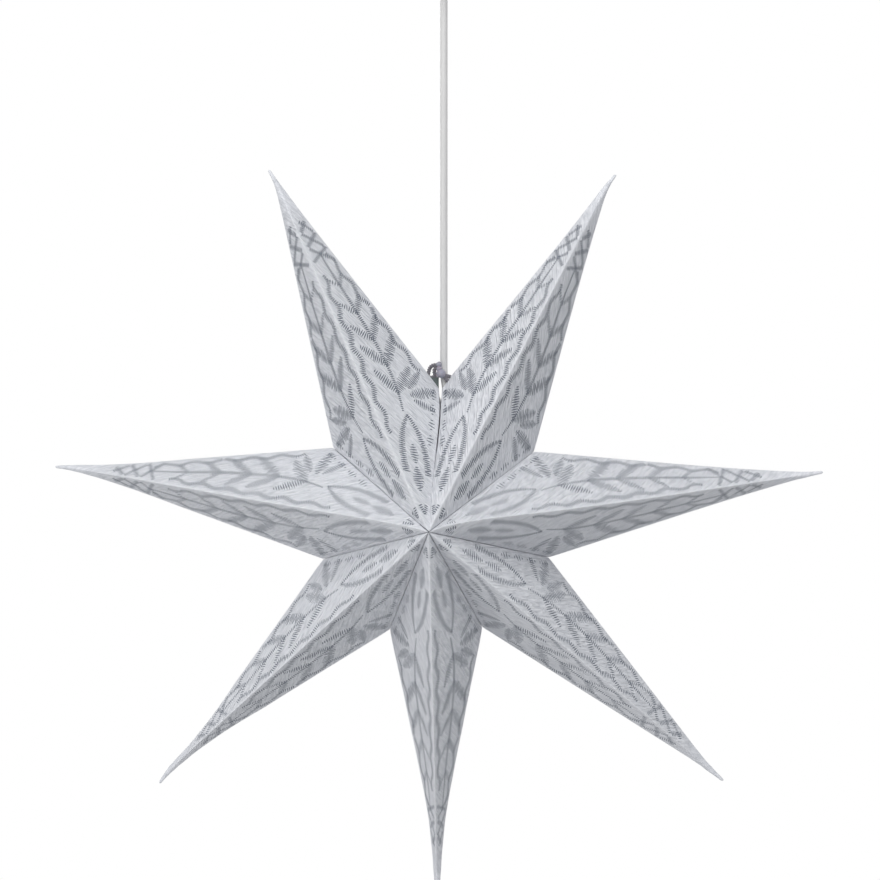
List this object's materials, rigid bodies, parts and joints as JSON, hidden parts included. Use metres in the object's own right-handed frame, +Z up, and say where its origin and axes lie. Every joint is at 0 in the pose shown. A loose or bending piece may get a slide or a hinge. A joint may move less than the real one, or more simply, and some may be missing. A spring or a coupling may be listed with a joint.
{
  "type": "christmas star pendant lamp",
  "caption": "Folded white paper star lantern with slender pointed arms and a silver-grey ornament, hung on its lamp cord from a ceiling cup, with a bulb inside.",
  "frame": {"origin": "on the ceiling, on the cord's axis, in the middle between the bracket's two screw holes", "axes": "+Z up along the cord, the star's front faces -Y, +X to the right seen from the front"},
  "size_m": [0.595, 0.1898, 0.778],
  "materials": {
    "white_paper": "matte",
    "grey_string": "matte",
    "cord_sheath": "satin",
    "holder_plastic": "satin",
    "insert_ceramic": "satin",
    "contact_brass": "satin",
    "zinc_steel": "satin",
    "nickel_shell": "satin",
    "black_insulator": "gloss",
    "bulb_glass": "gloss",
    "filament_coating": "matte",
    "cup_plastic": "gloss",
    "terminal_plastic": "satin",
    "brown_wire": "satin",
    "blue_wire": "satin"
  },
  "bodies": {
    "lamp_cord_set": {"ceiling_bracket": "zinc_steel", "cord_clamp": "zinc_steel", "clamp_screw_1": "zinc_steel", "clamp_screw_2": "zinc_steel", "terminal_block": "terminal_plastic", "terminal_screw_1": "zinc_steel", "terminal_screw_2": "zinc_steel", "supply_wire_1": "brown_wire", "supply_wire_2": "blue_wire", "supply_cord": "cord_sheath", "holder_cap": "holder_plastic", "holder_grip_screw": "zinc_steel", "holder_body": "holder_plastic", "holder_insert": "insert_ceramic", "side_contact": "contact_brass", "centre_contact": "contact_brass"},
    "cup": {"ceiling_cup": "cup_plastic", "cup_bush": "cup_plastic", "cup_set_screw": "zinc_steel"},
    "bulb": {"bulb_globe": "bulb_glass", "bulb_shell": "nickel_shell", "bulb_insulator": "black_insulator", "bulb_tip": "nickel_shell", "bulb_stem": "bulb_glass", "bulb_filament_1": "filament_coating", "bulb_filament_2": "filament_coating"},
    "arm_1": {"arm_1": "white_paper", "tie_string": "grey_string"},
    "arm_2": {"arm_2": "white_paper"},
    "arm_3": {"arm_3": "white_paper"},
    "arm_4": {"arm_4": "white_paper"},
    "arm_5": {"arm_5": "white_paper"},
    "arm_6": {"arm_6": "white_paper"},
    "arm_7": {"arm_7": "white_paper"}
  },
  "joints": [
    {"name": "star_swivel", "type": "hinge", "parent": "lamp_cord_set", "child": "arm_1", "pos_m": [0, 0, -0.36], "axis": [0, 0, 1], "continuous": true},
    {"name": "bulb_slide", "type": "slide", "parent": "lamp_cord_set", "child": "bulb", "axis": [0, 0, -1], "range_m": [0, 0.02]},
    {"name": "cup_slide", "type": "slide", "parent": "lamp_cord_set", "child": "cup", "axis": [0, 0, -1], "range_m": [0, 0.06]},
    {"name": "star_fold", "type": "hinge", "parent": "arm_1", "child": "arm_2", "pos_m": [-0.0065, -0.0033, -0.478], "axis": [0, -1, 0], "range_deg": [0, 52.3], "deforming": ["arm_1", "arm_2", "arm_3", "arm_4", "arm_5", "arm_6", "arm_7"]},
    {"name": "arm_3_fold", "type": "hinge", "parent": "arm_2", "child": "arm_3", "pos_m": [-0.0065, -0.0033, -0.478], "axis": [0, -1, 0], "range_deg": [0, 46.31], "deforming": ["arm_1", "arm_2", "arm_3", "arm_4", "arm_5", "arm_6", "arm_7"]},
    {"name": "arm_4_fold", "type": "hinge", "parent": "arm_3", "child": "arm_4", "pos_m": [-0.0065, -0.0033, -0.478], "axis": [0, -1, 0], "range_deg": [0, 44.31], "deforming": ["arm_1", "arm_2", "arm_3", "arm_4", "arm_5", "arm_6", "arm_7"]},
    {"name": "arm_5_fold", "type": "hinge", "parent": "arm_4", "child": "arm_5", "pos_m": [-0.0065, -0.0033, -0.478], "axis": [0, -1, 0], "range_deg": [0, 43.81], "deforming": ["arm_1", "arm_2", "arm_3", "arm_4", "arm_5", "arm_6", "arm_7"]},
    {"name": "arm_6_fold", "type": "hinge", "parent": "arm_5", "child": "arm_6", "pos_m": [-0.0065, -0.0033, -0.478], "axis": [0, -1, 0], "range_deg": [0, 48.21], "deforming": ["arm_1", "arm_2", "arm_3", "arm_4", "arm_5", "arm_6", "arm_7"]},
    {"name": "arm_7_fold", "type": "hinge", "parent": "arm_6", "child": "arm_7", "pos_m": [-0.0065, -0.0033, -0.478], "axis": [0, -1, 0], "range_deg": [0, 53.41], "deforming": ["arm_1", "arm_2", "arm_3", "arm_4", "arm_5", "arm_6", "arm_7"]}
  ],
  "couplings": [
    {"joint": "arm_3_fold", "follows": "star_fold", "ratio": 0.88528},
    {"joint": "arm_4_fold", "follows": "star_fold", "ratio": 0.84704},
    {"joint": "arm_5_fold", "follows": "star_fold", "ratio": 0.83748},
    {"joint": "arm_6_fold", "follows": "star_fold", "ratio": 0.92161},
    {"joint": "arm_7_fold", "follows": "star_fold", "ratio": 1.021}
  ]
}
